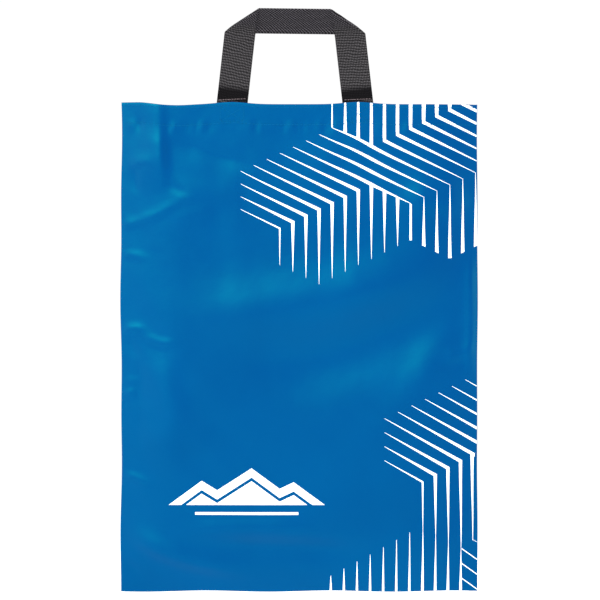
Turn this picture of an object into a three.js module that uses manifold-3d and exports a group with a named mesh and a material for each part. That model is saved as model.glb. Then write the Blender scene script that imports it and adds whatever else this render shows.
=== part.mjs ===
// A flat carrying bag for ski climbing skins: two coated nylon panels sewn together on three sides,
// with a turned hem round the open mouth and a mitred webbing handle on each side.
//
// Millimetres, +Z up. X runs across the bag, Y through it, and the printed front faces -Y.
// The origin is the point that the bag hangs from: on the bag's centre, between the two handles,
// level with the lower edges of their grips.

import * as THREE from "three";
import { mergeVertices } from "three/addons/utils/BufferGeometryUtils.js";
import Module from "manifold-3d";

const wasm = await Module();
wasm.setup();

// ---------- driving dimensions ----------

const BAG_WIDTH = 292;
const BAG_HEIGHT = 400;
const MOUTH_Z = -58; // the hem's top edge, below the grip by the length of the handle's legs
const BOTTOM_Z = MOUTH_Z - BAG_HEIGHT;

const CLOTH = 0.5; // coated cloth, with its coating and the slack of a fold
const EDGE_DEPTH = 1.6; // from the bag's middle plane to the outside of the cloth at a seam
const SHOULDER_DEPTH = 4.3; // the same at the shoulder, where the seam's stiffness ends
const FULL_DEPTH = 7; // the same over the flat middle of the panel
const SHOULDER_IN = 10; // how far in from the seam the shoulder is
const FULL_IN = 50; // and the edge of the flat middle

const HEM_DEPTH = 18;
const HEM_STITCH_DROP = [2.2, 16.5]; // the two rows of hem stitching, below the mouth's edge

const ALLOWANCE = 8; // the raw edges that a seam leaves inside the bag
const ALLOWANCE_NEAR = 0.5; // from the middle plane to the near side of an allowance
const OVERLOCK = 0.25; // overlock thread over a raw edge
const OVERLOCK_REACH = 4;
const SEAM_IN = 2; // the seam stitches, in from the folded edge
const SEAM_THREAD = 0.5;

const THREAD_WIDTH = 0.4;
const THREAD_DEPTH = 0.22;
const BED_DEPTH = 0.34; // the bed that a stitch pulls into the cloth
const BED_GAP = 0.12; // free on each side of a thread in its bed

const WEBBING_WIDTH = 25;
const WEBBING = 1.3;
const HANDLE_X = -3.5; // the handles are sewn on a little to one side of the middle
const HANDLE_SPREAD = 64.4; // half of the handle's outside width at the mouth
const GRIP_SPREAD = 57.8; // and at the grip
const GRIP_TILT = THREE.MathUtils.degToRad(50); // the mitred grip leans outwards from its legs
const TAIL_LENGTH = 16; // webbing sewn down inside the hem
const BOX_STITCH = { width: 19, height: 11.6, drop: 3.5 };
const LEG_STITCH_RISE = 3.6; // a row of stitching across each leg, above the mouth
const LEG_STITCH_IN = 1.6; // how far the row stops short of the webbing's edges

const GAP = 0.1; // between two pieces that lie flat on each other
const LAP = 0.05; // how far two layers of one piece are pressed into each other
const BEND_GAP = 0.3; // left open where the webbing bends at the mouth
const CUT = 2; // how far a cutting block runs past what it cuts

const HALF_WIDTH = BAG_WIDTH / 2;
const TAIL_FACE = FULL_DEPTH - 2 * CLOTH - GAP; // the side of the webbing that lies on the hem
const HANDLE_Y = TAIL_FACE - WEBBING / 2;
const LEG_LEAN = Math.atan((HANDLE_SPREAD - GRIP_SPREAD) / -MOUTH_Z);
const LEG_WIDTH = WEBBING_WIDTH / Math.cos(LEG_LEAN); // measured level, across a leaning leg

// ---------- materials ----------

const finish = (color, roughness) =>
  new THREE.MeshStandardMaterial({ color, roughness, metalness: 0 });

const COATED_NYLON = finish(0x0568b2, 0.45);
const BLACK_WEBBING = finish(0x3b393c, 0.75);
const BLUE_THREAD = finish(0x0b4f8c, 0.6);
const DARK_THREAD = finish(0x24404f, 0.7);

// ---------- solids ----------

// A three.js geometry as a solid that can be joined and cut.
function solid(geometry) {
  const bare = geometry.clone();
  bare.deleteAttribute("normal");
  bare.deleteAttribute("uv");
  const merged = mergeVertices(bare, 1e-4);
  return new wasm.Manifold(
    new wasm.Mesh({
      numProp: 3,
      vertProperties: new Float32Array(merged.attributes.position.array),
      triVerts: new Uint32Array(merged.index.array),
    }),
  );
}

// A joined or cut solid as a named mesh.
function piece(name, body, material) {
  const { vertProperties, triVerts } = body.getMesh();
  const geometry = new THREE.BufferGeometry()
    .setAttribute("position", new THREE.BufferAttribute(new Float32Array(vertProperties), 3))
    .setIndex(new THREE.BufferAttribute(new Uint32Array(triVerts), 1));
  geometry.computeVertexNormals();
  const mesh = new THREE.Mesh(geometry, material);
  mesh.name = name;
  return mesh;
}

// A box between two corners.
function block([x0, y0, z0], [x1, y1, z1]) {
  const geometry = new THREE.BoxGeometry(x1 - x0, y1 - y0, z1 - z0);
  geometry.translate((x0 + x1) / 2, (y0 + y1) / 2, (z0 + z1) / 2);
  return solid(geometry);
}

// An outline drawn in X and Z, as a plate from depth near to depth far in Y.
function plate(shape, near, far) {
  const geometry = new THREE.ExtrudeGeometry(shape, { depth: far - near, bevelEnabled: false });
  geometry.rotateX(Math.PI / 2); // the extrusion now runs towards -Y
  geometry.translate(0, far, 0);
  return solid(geometry);
}

const outline = (points) => new THREE.Shape(points.map(([x, z]) => new THREE.Vector2(x, z)));

const rectangle = (x0, z0, x1, z1) =>
  outline([
    [x0, z0],
    [x1, z0],
    [x1, z1],
    [x0, z1],
  ]);

// ---------- the panel's billow ----------

// Everything between the middle plane and the panel's outside, taken in by inset. It is where two
// long blocks meet: one with the billow's section across the bag, one with its section up the bag.
function billow(inset, past = 0) {
  const edge = EDGE_DEPTH - inset;
  const shoulder = SHOULDER_DEPTH - inset;
  const full = FULL_DEPTH - inset;
  const across = outline([
    [-HALF_WIDTH - past, -CUT],
    [HALF_WIDTH + past, -CUT],
    [HALF_WIDTH + past, edge],
    [HALF_WIDTH, edge],
    [HALF_WIDTH - SHOULDER_IN, shoulder],
    [HALF_WIDTH - FULL_IN, full],
    [-HALF_WIDTH + FULL_IN, full],
    [-HALF_WIDTH + SHOULDER_IN, shoulder],
    [-HALF_WIDTH, edge],
    [-HALF_WIDTH - past, edge],
  ]);
  const upward = outline([
    [-CUT, BOTTOM_Z - past],
    [edge, BOTTOM_Z - past],
    [edge, BOTTOM_Z],
    [shoulder, BOTTOM_Z + SHOULDER_IN],
    [full, BOTTOM_Z + FULL_IN],
    [full, MOUTH_Z + past],
    [-CUT, MOUTH_Z + past],
  ]);
  const height = BAG_HEIGHT + 2 * past;
  const acrossBlock = new THREE.ExtrudeGeometry(across, { depth: height, bevelEnabled: false });
  acrossBlock.translate(0, 0, BOTTOM_Z - past);
  const width = BAG_WIDTH + 2 * past;
  const upwardBlock = new THREE.ExtrudeGeometry(upward, { depth: width, bevelEnabled: false });
  // The outline was drawn as depth and height, and it is carried along X.
  upwardBlock.applyMatrix4(
    new THREE.Matrix4().set(0, 0, 1, -width / 2, 1, 0, 0, 0, 0, 1, 0, 0, 0, 0, 0, 1),
  );
  return solid(acrossBlock).intersect(solid(upwardBlock));
}

// A layer that follows the billow, from one inset to a deeper one, kept between two heights.
function layer(inset, deeper, z0, z1) {
  const kept = block([-HALF_WIDTH - CUT, 0, z0], [HALF_WIDTH + CUT, FULL_DEPTH + CUT, z1]);
  return billow(inset).subtract(billow(deeper, CUT)).intersect(kept);
}

// An outline that goes down one side of the bag, along its bottom and up the other side.
function threeSides(from, to, top) {
  const outer = HALF_WIDTH - from;
  const inner = HALF_WIDTH - to;
  return outline([
    [-outer, top],
    [-outer, BOTTOM_Z + from],
    [outer, BOTTOM_Z + from],
    [outer, top],
    [inner, top],
    [inner, BOTTOM_Z + to],
    [-inner, BOTTOM_Z + to],
    [-inner, top],
  ]);
}

// ---------- stitches ----------

const tailMiddle = (side) => HANDLE_X + side * (HANDLE_SPREAD - LEG_WIDTH / 2);

// A box of stitching with a cross in it, as a flat outline with four three-cornered openings.
function boxStitch(side, width, height, bar) {
  const x = tailMiddle(side);
  const z = MOUTH_Z - BOX_STITCH.drop - BOX_STITCH.height / 2;
  const shape = rectangle(x - width / 2, z - height / 2, x + width / 2, z + height / 2);
  const slope = height / width;
  const clear = bar / 2 / Math.cos(Math.atan(slope)); // half a diagonal bar, measured upright
  const inX = width / 2 - bar;
  const inZ = height / 2 - bar;
  const openings = [
    // below and above the cross
    ...[-1, 1].map((s) => [
      [x, z + s * clear],
      [x + (inZ - clear) / slope, z + s * inZ],
      [x - (inZ - clear) / slope, z + s * inZ],
    ]),
    // left and right of it
    ...[-1, 1].map((s) => [
      [x + (s * clear) / slope, z],
      [x + s * inX, z + inX * slope - clear],
      [x + s * inX, z - inX * slope + clear],
    ]),
  ];
  shape.holes = openings.map((points) => new THREE.Path(outline(points).getPoints()));
  return shape;
}

// ---------- one side of the bag: a panel, what is sewn to it, and its handle ----------

function panel(name) {
  let cloth = layer(0, CLOTH, BOTTOM_Z - CUT, MOUTH_Z + CUT)
    .add(layer(CLOTH - LAP, 2 * CLOTH, MOUTH_Z - HEM_DEPTH, MOUTH_Z + CUT)) // the turned hem
    .add(plate(threeSides(0, CLOTH, MOUTH_Z), ALLOWANCE_NEAR, EDGE_DEPTH - CLOTH / 2)) // the fold
    .add(plate(threeSides(0, ALLOWANCE, MOUTH_Z), ALLOWANCE_NEAR, ALLOWANCE_NEAR + CLOTH));
  for (const drop of HEM_STITCH_DROP) {
    const half = THREAD_WIDTH / 2 + BED_GAP;
    cloth = cloth.subtract(layer(-CUT, BED_DEPTH, MOUTH_Z - drop - half, MOUTH_Z - drop + half));
  }
  for (const side of [-1, 1]) {
    const bed = boxStitch(
      side,
      BOX_STITCH.width + 2 * BED_GAP,
      BOX_STITCH.height + 2 * BED_GAP,
      THREAD_WIDTH + 2 * BED_GAP,
    );
    cloth = cloth.subtract(plate(bed, FULL_DEPTH - BED_DEPTH, FULL_DEPTH + CUT));
  }
  return piece(name, cloth, COATED_NYLON);
}

// Overlock thread, a channel folded round the raw edge of one of a panel's three allowances.
function overlock(name, edge) {
  const near = ALLOWANCE_NEAR - GAP - OVERLOCK;
  const far = ALLOWANCE_NEAR + CLOTH + GAP + OVERLOCK;
  const tip = ALLOWANCE + GAP + OVERLOCK;
  const start = ALLOWANCE - OVERLOCK_REACH;
  const corner = tip + GAP; // the side and bottom channels stop short of each other
  const top = MOUTH_Z - HEM_DEPTH - GAP;
  // One wall of the channel, between two distances from the bag's edge and two depths.
  const wrap = (from, to, y0, y1) => {
    if (edge === "bottom") {
      const x = HALF_WIDTH - corner;
      return block([-x, y0, BOTTOM_Z + from], [x, y1, BOTTOM_Z + to]);
    }
    const x0 = edge === "left" ? -HALF_WIDTH + from : HALF_WIDTH - to;
    return block([x0, y0, BOTTOM_Z + corner], [x0 + to - from, y1, top]);
  };
  const body = wrap(start, tip, near, near + OVERLOCK)
    .add(wrap(start, tip, far - OVERLOCK, far))
    .add(wrap(tip - OVERLOCK, tip, near, far));
  return piece(name, body, DARK_THREAD);
}

function hemThread(name, drop) {
  const half = THREAD_WIDTH / 2;
  return piece(
    name,
    layer(0, THREAD_DEPTH, MOUTH_Z - drop - half, MOUTH_Z - drop + half),
    BLUE_THREAD,
  );
}

// The end of the webbing, sewn down behind the hem.
function tail(name, side) {
  const x = tailMiddle(side);
  const body = block(
    [x - LEG_WIDTH / 2, TAIL_FACE - WEBBING, MOUTH_Z - TAIL_LENGTH],
    [x + LEG_WIDTH / 2, TAIL_FACE, MOUTH_Z - BEND_GAP / 2],
  );
  return piece(name, body, BLACK_WEBBING);
}

function boxThread(name, side) {
  const shape = boxStitch(side, BOX_STITCH.width, BOX_STITCH.height, THREAD_WIDTH);
  return piece(name, plate(shape, FULL_DEPTH - THREAD_DEPTH, FULL_DEPTH), BLUE_THREAD);
}

// The row of stitching across a leg, in the handle's own frame, from depth near to depth far.
function legRow(side, near, far, margin) {
  const z = MOUTH_Z + LEG_STITCH_RISE;
  const outer = HANDLE_SPREAD - LEG_STITCH_RISE * Math.tan(LEG_LEAN);
  const from = side * (outer - LEG_STITCH_IN + margin);
  const to = side * (outer - LEG_WIDTH + LEG_STITCH_IN - margin);
  const half = THREAD_WIDTH / 2 + margin;
  return plate(
    rectangle(Math.min(from, to), z - half, Math.max(from, to), z + half),
    near,
    far,
  );
}

function legThread(name, side) {
  const face = WEBBING / 2;
  const mesh = piece(name, legRow(side, face - THREAD_DEPTH, face, 0), DARK_THREAD);
  mesh.position.set(HANDLE_X, HANDLE_Y, 0);
  return mesh;
}

// The standing part of the handle. Each leg leans in, and at the grip the webbing is folded over
// behind it, so that a mitre is two layers thick. Above the fold the grip leans outwards.
function handle(name) {
  const foot = MOUTH_Z + BEND_GAP;
  const footSpread = HANDLE_SPREAD - BEND_GAP * Math.tan(LEG_LEAN);
  const mitre = WEBBING_WIDTH / Math.tan((Math.PI / 2 - LEG_LEAN) / 2);
  const topSpread = GRIP_SPREAD - mitre;
  const near = -WEBBING / 2;
  const far = WEBBING / 2;

  const legs = [-1, 1].map((side) => {
    const leg = plate(
      outline([
        [side * footSpread, foot],
        [side * (footSpread - LEG_WIDTH), foot],
        [side * (GRIP_SPREAD - LEG_WIDTH), 0],
        [side * GRIP_SPREAD, 0],
      ]),
      near,
      far,
    );
    return leg.subtract(legRow(side, far - BED_DEPTH, far + CUT, BED_GAP));
  });
  const mitres = [-1, 1].map((side) =>
    plate(
      outline([
        [side * GRIP_SPREAD, 0],
        [side * (GRIP_SPREAD - LEG_WIDTH), 0],
        [side * topSpread, WEBBING_WIDTH],
      ]),
      near,
      far,
    ),
  );
  // The grip is the webbing's other face, and it lies on the bag's side of the legs.
  const grip = plate(
    outline([
      [-GRIP_SPREAD, 0],
      [GRIP_SPREAD, 0],
      [topSpread, WEBBING_WIDTH],
      [-topSpread, WEBBING_WIDTH],
    ]),
    near - WEBBING + LAP,
    near + LAP,
  );
  const upper = piece("upper", mitres[0].add(mitres[1]).add(grip), BLACK_WEBBING).geometry;
  upper.rotateX(-GRIP_TILT); // +Y is outwards, so the grip's top moves that way
  const body = legs[0].add(legs[1]).add(solid(upper));
  const mesh = piece(name, body, BLACK_WEBBING);
  mesh.position.set(HANDLE_X, HANDLE_Y, 0);
  return mesh;
}

// Everything on one side, built with its outside facing +Y.
function bagSide(which) {
  const group = new THREE.Group();
  group.add(panel(`${which}_panel`));
  for (const edge of ["left", "bottom", "right"]) {
    group.add(overlock(`${which}_${edge}_overlock`, edge));
  }
  group.add(hemThread(`${which}_hem_top_stitch`, HEM_STITCH_DROP[0]));
  group.add(hemThread(`${which}_hem_lower_stitch`, HEM_STITCH_DROP[1]));
  for (const [word, side] of [
    ["left", -1],
    ["right", 1],
  ]) {
    group.add(tail(`${which}_handle_${word}_end`, side));
    group.add(boxThread(`${which}_${word}_box_stitch`, side));
    group.add(legThread(`${which}_${word}_leg_stitch`, side));
  }
  group.add(handle(`${which}_handle`));
  return group;
}

// The seam stitches, which lie on the back panel's allowances inside the bag.
function seamThreads() {
  const near = ALLOWANCE_NEAR + CLOTH + GAP;
  const far = near + OVERLOCK;
  const from = SEAM_IN;
  const to = SEAM_IN + SEAM_THREAD;
  const top = MOUTH_Z - HEM_DEPTH - GAP;
  const upright = (name, x0, x1) =>
    piece(name, block([x0, near, BOTTOM_Z + to + GAP], [x1, far, top]), DARK_THREAD);
  return [
    upright("left_seam_stitch", -HALF_WIDTH + from, -HALF_WIDTH + to),
    upright("right_seam_stitch", HALF_WIDTH - to, HALF_WIDTH - from),
    piece(
      "bottom_seam_stitch",
      block([-HALF_WIDTH + from, near, BOTTOM_Z + from], [HALF_WIDTH - from, far, BOTTOM_Z + to]),
      DARK_THREAD,
    ),
  ];
}

// ---------- assembly ----------

const front = bagSide("front");
front.scale.y = -1; // the front is the back's mirror image, so its outside faces -Y

const bag = new THREE.Group();
bag.add(front, bagSide("back"), ...seamThreads());

export default bag;
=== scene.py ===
"""The looks of a flat carrying bag for ski climbing skins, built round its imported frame.

Metres, +Z up. X runs across the bag, Y through it, and the printed front faces -Y. A place on a
panel is given on its flat cut: x across the bag and z up it, as if the cloth hung perfectly flat.
"""

import math

import bpy
import numpy as np
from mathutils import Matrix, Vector


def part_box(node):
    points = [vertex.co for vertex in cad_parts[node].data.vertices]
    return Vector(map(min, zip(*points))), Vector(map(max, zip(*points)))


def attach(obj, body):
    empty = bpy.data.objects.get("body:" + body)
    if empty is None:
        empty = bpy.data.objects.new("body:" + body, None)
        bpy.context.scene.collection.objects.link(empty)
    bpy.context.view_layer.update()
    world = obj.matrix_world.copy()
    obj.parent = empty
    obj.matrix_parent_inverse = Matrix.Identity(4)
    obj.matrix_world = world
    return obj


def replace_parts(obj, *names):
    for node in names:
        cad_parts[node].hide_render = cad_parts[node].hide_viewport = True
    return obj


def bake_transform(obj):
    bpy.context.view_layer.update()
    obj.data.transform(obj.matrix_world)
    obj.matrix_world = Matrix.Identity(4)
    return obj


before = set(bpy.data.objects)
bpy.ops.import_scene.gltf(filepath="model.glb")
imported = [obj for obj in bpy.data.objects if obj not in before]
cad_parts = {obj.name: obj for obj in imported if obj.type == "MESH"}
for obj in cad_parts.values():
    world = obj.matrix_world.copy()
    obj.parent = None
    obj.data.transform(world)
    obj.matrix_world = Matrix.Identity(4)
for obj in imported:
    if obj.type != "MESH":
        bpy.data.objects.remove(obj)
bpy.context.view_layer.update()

# ---------- sizes, from the frame and from what the parts are cut from ----------

MM = 0.001
FRONT, BACK = -1, 1  # the two sides of the bag, as the sign of their Y

panel_low, panel_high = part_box("back_panel")
HALF_WIDTH = panel_high.x
MOUTH = panel_high.z
BOTTOM = panel_low.z
FULL_DEPTH = panel_high.y  # from the bag's middle plane to the outside of a panel

loop_low, loop_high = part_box("back_handle")
HANDLE_X = (loop_low.x + loop_high.x) / 2
HANDLE_SPREAD = (loop_high.x - loop_low.x) / 2
tail_low, tail_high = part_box("back_handle_left_end")
LEG_WIDTH = tail_high.x - tail_low.x
LEG_MIDDLES = [HANDLE_X + side * (HANDLE_SPREAD - LEG_WIDTH / 2) for side in (-1, 1)]
TAIL_END = tail_low.z
HANDLE_Y = (tail_low.y + tail_high.y) / 2

CLOTH = 0.3 * MM  # coated nylon
FOLD = 0.45 * MM  # the outside radius of the cloth where it turns in at a seam or at the mouth
EDGE_DEPTH = 0.98 * MM  # so that the turned-in allowances of both panels all but touch
RISE = 50 * MM  # how far in from a seam the panel reaches its full depth
HEM = 18 * MM
ALLOWANCE = 8 * MM
STEP = 2 * MM  # the spacing of the panels' grids
HEM_ROWS = 2.2 * MM, 16.5 * MM  # how far under the mouth its two rows of stitches run

WEBBING_WIDTH = 25 * MM
WEBBING = 1.3 * MM
GRIP_SPREAD = 57.8 * MM  # half of the grip's width along its lower edge
GRIP_TILT = math.radians(50)
GRIP_BEND = 6 * MM  # the webbing bends over this height, below and above the grip's lower edge
MITRE_RADIUS = 0.72 * MM  # of the webbing's middle where it is folded over on itself
LEG_LEAN = math.atan((HANDLE_SPREAD - GRIP_SPREAD) / -MOUTH)
TAIL = (MOUTH - TAIL_END) / math.cos(LEG_LEAN)
# From the middle of the grip to the webbing's end: each mitre swaps as much as it takes.
STRAP_HALF = GRIP_SPREAD - TAIL_END / math.cos(LEG_LEAN)


# ---------- meshes ----------


def new_object(name, points, faces, uv=None):
    """A mesh object from arrays of points and faces, smooth, with a UV place for every point."""
    mesh = bpy.data.meshes.new(name)
    mesh.from_pydata(np.asarray(points, float).tolist(), [], np.asarray(faces).tolist())
    mesh.polygons.foreach_set("use_smooth", np.ones(len(mesh.polygons), bool))
    if uv is not None:
        corner_points = np.empty(len(mesh.loops), np.int32)
        mesh.loops.foreach_get("vertex_index", corner_points)
        layer = mesh.uv_layers.new(name="cut")
        layer.data.foreach_set("uv", np.asarray(uv, np.float32)[corner_points].ravel())
    mesh.update()
    made = bpy.data.objects.new(name, mesh)
    bpy.context.scene.collection.objects.link(made)
    return made


def grid_faces(rows, columns, first=0, close_columns=False):
    """The four-sided faces of a grid of points counted row by row."""
    number = first + np.arange(rows * columns).reshape(rows, columns)
    if close_columns:
        number = np.hstack([number, number[:, :1]])
    corners = number[:-1, :-1], number[1:, :-1], number[1:, 1:], number[:-1, 1:]
    return np.stack(corners, axis=-1).reshape(-1, 4)


def thin_solid(name, outer, inner, uv):
    """A closed sheet between two grids of points, with a rim of sharp edges round it."""
    rows, columns = outer.shape[:2]
    count = rows * columns
    number = np.arange(count).reshape(rows, columns)
    border = np.concatenate(
        [number[:-1, 0], number[-1, :-1], number[:0:-1, -1], number[0, :0:-1]]
    )
    onward = np.roll(border, -1)
    rim = np.stack([border, border + count, onward + count, onward], axis=-1)
    back = grid_faces(rows, columns, first=count)[:, ::-1]
    faces = np.concatenate([grid_faces(rows, columns), back, rim])
    points = np.concatenate([outer.reshape(-1, 3), inner.reshape(-1, 3)])
    flat = uv.reshape(-1, 2)
    made = new_object(name, points, faces, np.concatenate([flat, flat]))
    mesh = made.data
    ends = np.empty(len(mesh.edges) * 2, np.int32)
    mesh.edges.foreach_get("vertices", ends)
    on_border = np.zeros(2 * count, bool)
    on_border[border] = on_border[border + count] = True
    ends = ends.reshape(-1, 2)
    one_side = (ends[:, 0] < count) == (ends[:, 1] < count)
    sharp = on_border[ends].all(axis=1) & one_side
    mesh.attributes.new("sharp_edge", "BOOLEAN", "EDGE").data.foreach_set("value", sharp)
    return made


def recalculate_outwards(piece):
    """Turns a closed piece's faces to point out of it, by the sign of its volume."""
    mesh = piece.data
    mesh.calc_loop_triangles()
    co = np.empty(len(mesh.vertices) * 3, np.float32)
    mesh.vertices.foreach_get("co", co)
    corners = np.empty(len(mesh.loop_triangles) * 3, np.int32)
    mesh.loop_triangles.foreach_get("vertices", corners)
    a, b, c = co.reshape(-1, 3)[corners.reshape(-1, 3)].astype(float).transpose(1, 0, 2)
    if (a * np.cross(b, c)).sum() < 0:
        mesh.flip_normals()


def smooth_step(value, start, end):
    """0 before start, 1 after end, and a cubic S between them."""
    t = np.clip((value - start) / (end - start), 0, 1)
    return t * t * (3 - 2 * t)


# ---------- materials ----------


def linear(hex_colour):
    """An sRGB hex colour as linear red, green and blue, with alpha 1."""
    parts = [int(hex_colour[i : i + 2], 16) / 255 for i in (1, 3, 5)]
    return [c / 12.92 if c <= 0.04045 else ((c + 0.055) / 1.055) ** 2.4 for c in parts] + [1.0]


def add(tree, kind, inputs=(), **settings):
    """Adds a node with its settings, gives each of its inputs a value or a link from an output,
    and gives back its outputs."""
    made = tree.nodes.new("ShaderNode" + kind)
    for name, value in settings.items():
        setattr(made, name, value)
    for name, value in dict(inputs).items():
        if isinstance(value, bpy.types.NodeSocket):
            tree.links.new(value, made.inputs[name])
        else:
            made.inputs[name].default_value = value
    return made.outputs


def new_material(name):
    """A material and its empty node tree."""
    material = bpy.data.materials.new(name)
    material.use_nodes = True
    material.node_tree.nodes.clear()
    return material, material.node_tree


def threads(tree, place, pitch, peak=1.0):
    """A wave along one axis, 0 in the gap between two threads and 1 on top of each: the size of
    a sine, raised to a power that makes its tops narrower."""
    turns = add(tree, "Math", {0: place, 1: math.pi / pitch}, operation="MULTIPLY")[0]
    wave = add(tree, "Math", {0: turns}, operation="SINE")[0]
    height = add(tree, "Math", {0: wave}, operation="ABSOLUTE")[0]
    return add(tree, "Math", {0: height, 1: peak}, operation="POWER")[0]


def coated_nylon():
    """Plain-woven nylon taffeta, dyed through and coated: close, smooth and faintly satiny, with
    tiny set creases that break up its shine."""
    material, tree = new_material("coated_nylon")
    cut = add(tree, "UVMap", uv_map="cut")[0]
    across, along, _ = add(tree, "SeparateXYZ", {0: cut})
    pitch = 0.45 * MM  # 0.2 mm on the real cloth, drawn coarser so that it can show
    warp, weft = threads(tree, across, pitch), threads(tree, along, pitch)
    weave = add(tree, "Math", {0: warp, 1: weft}, operation="MULTIPLY")[0]
    crease_size = {"Vector": cut, "Scale": 1 / (14 * MM), "Detail": 5, "Roughness": 0.55}
    creases = add(tree, "TexNoise", crease_size)[0]
    dye_size = {"Vector": cut, "Scale": 1 / (110 * MM), "Detail": 2, "Distortion": 0.6}
    dye = add(tree, "TexNoise", dye_size)[0]
    deep = add(tree, "MapRange", {"Value": dye, "From Min": 0.35, "From Max": 0.65})[0]
    blues = {0: deep, 6: linear("#00266C"), 7: linear("#002C70")}
    blue = add(tree, "Mix", blues, data_type="RGBA")[2]
    # The weave is painted faintly into the colour: painted shade in the gaps between threads, painted
    # highlight on their tops.
    shade = add(tree, "MapRange", {"Value": weave, "To Min": 0.97, "To Max": 1.01})[0]
    shaded = {0: 1.0, 6: blue, 7: shade}
    colour = add(tree, "Mix", shaded, data_type="RGBA", blend_type="MULTIPLY")[2]
    satin = add(tree, "MapRange", {"Value": creases, "To Min": 0.33, "To Max": 0.45})[0]
    creased = {"Height": creases, "Distance": 0.35 * MM, "Strength": 0.5}
    woven = {"Height": weave, "Distance": 0.01 * MM, "Strength": 0.4}
    woven["Normal"] = add(tree, "Bump", creased)[0]
    shader = add(
        tree,
        "BsdfPrincipled",
        {
            "Base Color": colour,
            "Roughness": satin,
            "IOR": 1.6,
            "Specular IOR Level": 1.0,
            "Specular Tint": linear("#0CB09C"),
            "Normal": add(tree, "Bump", woven)[0],
        },
    )
    add(tree, "OutputMaterial", {"Surface": shader[0]})
    return material


def polypropylene_webbing():
    """Heavy polypropylene webbing, woven as a twill over cross ribs, matt charcoal. Its relief is
    painted
    into its colour: a painted highlight on top of every float and painted shade, near black, between
    them. The ribs stand out where it hangs in the legs, whose highlights are painted a little darker
    than the grip's, and on the legs a little above the mouth the highlights are all but taken out, as
    painted shade."""
    material, tree = new_material("polypropylene_webbing")
    cut = add(tree, "UVMap", uv_map="cut")[0]
    across, along, _ = add(tree, "SeparateXYZ", {0: cut})
    yarn = 1.3 * MM  # 0.9 mm on the real webbing, drawn coarser so that it can show
    float_length = 2.5 * MM
    rib = 2.2 * MM
    stray = add(tree, "TexNoise", {"Vector": cut, "Scale": 1 / (9 * MM), "Detail": 2})[0]
    strayed = add(tree, "Math", {0: stray, 1: 3.2 * MM, 2: along}, operation="MULTIPLY_ADD")[0]
    twill = add(tree, "Math", {0: strayed, 1: across}, operation="ADD")[0]
    rib_slant = 0.12
    ribbing = {0: across, 1: rib_slant, 2: strayed}
    ribbed_way = add(tree, "Math", ribbing, operation="MULTIPLY_ADD")[0]
    yarns = threads(tree, across, yarn, 1.2)
    tops = threads(tree, twill, float_length)
    narrow_tops = threads(tree, twill, float_length, 2.4)
    ribs = threads(tree, ribbed_way, rib, 2.2)

    faint_tops = add(tree, "Math", {0: tops, 1: 0.2}, operation="MULTIPLY")[0]
    ribbed = add(tree, "Math", {0: ribs, 1: 0.8, 2: faint_tops}, operation="MULTIPLY_ADD")[0]
    from_middle = add(tree, "Math", {0: along}, operation="ABSOLUTE")[0]
    leg = add(tree, "MapRange", {"Value": from_middle, "From Min": 45 * MM, "From Max": 52 * MM})[0]
    rows = add(tree, "Mix", {0: leg, 2: narrow_tops, 3: ribbed}, data_type="FLOAT")[0]
    relief = add(tree, "Math", {0: yarns, 1: rows}, operation="MULTIPLY")[0]

    to_mouth = {0: STRAP_HALF - TAIL, 1: from_middle}
    from_mouth = add(tree, "Math", to_mouth, operation="SUBTRACT")[0]
    starts = {"Value": from_mouth, "From Min": 2.5 * MM, "From Max": 4.5 * MM}
    # On the legs a little above the mouth only a twentieth of the highlights stays: painted shade.
    ends = {"Value": from_mouth, "From Min": 12 * MM, "From Max": 17 * MM, "To Min": -0.95, "To Max": 0}
    leg_shade_ramps = {0: add(tree, "MapRange", starts)[0], 1: add(tree, "MapRange", ends)[0], 2: 1.0}
    unshaded_share = add(tree, "Math", leg_shade_ramps, operation="MULTIPLY_ADD")[0]
    fuzz = add(tree, "TexNoise", {"Vector": cut, "Scale": 1 / (0.8 * MM), "Detail": 3})[0]
    fuzzy = add(tree, "Math", {0: fuzz, 1: 0.55}, operation="ADD")[0]
    # The relief painted into the colour: painted highlights on the tops, painted shade between them.
    lit = add(tree, "Math", {0: relief, 1: fuzzy}, operation="MULTIPLY")[0]
    lit = add(tree, "Math", {0: lit, 1: unshaded_share}, operation="MULTIPLY")[0]
    # The painted highlights' grey, a little darker on the legs than on the grip, by how the light
    # falls.
    highlight_greys = {0: leg, 6: linear("#555257"), 7: linear("#504E50")}
    pale = add(tree, "Mix", highlight_greys, data_type="RGBA")[2]
    # From near-black painted shade to the painted highlight's grey.
    shade_to_highlight = {0: lit, 6: linear("#050406"), 7: pale}
    shader = add(
        tree,
        "BsdfPrincipled",
        {
            "Base Color": add(tree, "Mix", shade_to_highlight, data_type="RGBA")[2],
            "Roughness": 0.68,
            "IOR": 1.49,
            "Specular IOR Level": 0.05,
            "Normal": add(tree, "Bump", {"Height": relief, "Distance": 0.4 * MM, "Strength": 0.7})[0],
        },
    )
    add(tree, "OutputMaterial", {"Surface": shader[0]})
    return material


def screen_ink():
    """Opaque white screen-printing ink: a flat, slightly chalky film."""
    material, tree = new_material("screen_ink")
    cut = add(tree, "UVMap", uv_map="cut")[0]
    film = add(tree, "TexNoise", {"Vector": cut, "Scale": 1 / (1.2 * MM), "Detail": 3})[0]
    whites = {0: film, 6: linear("#DFE9EF"), 7: linear("#EFF5F8")}
    shader = add(
        tree,
        "BsdfPrincipled",
        {
            "Base Color": add(tree, "Mix", whites, data_type="RGBA")[2],
            "Roughness": 0.5,
            "Specular IOR Level": 0.3,
            "Normal": add(tree, "Bump", {"Height": film, "Distance": 0.03 * MM, "Strength": 0.5})[0],
        },
    )
    add(tree, "OutputMaterial", {"Surface": shader[0]})
    return material


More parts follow.
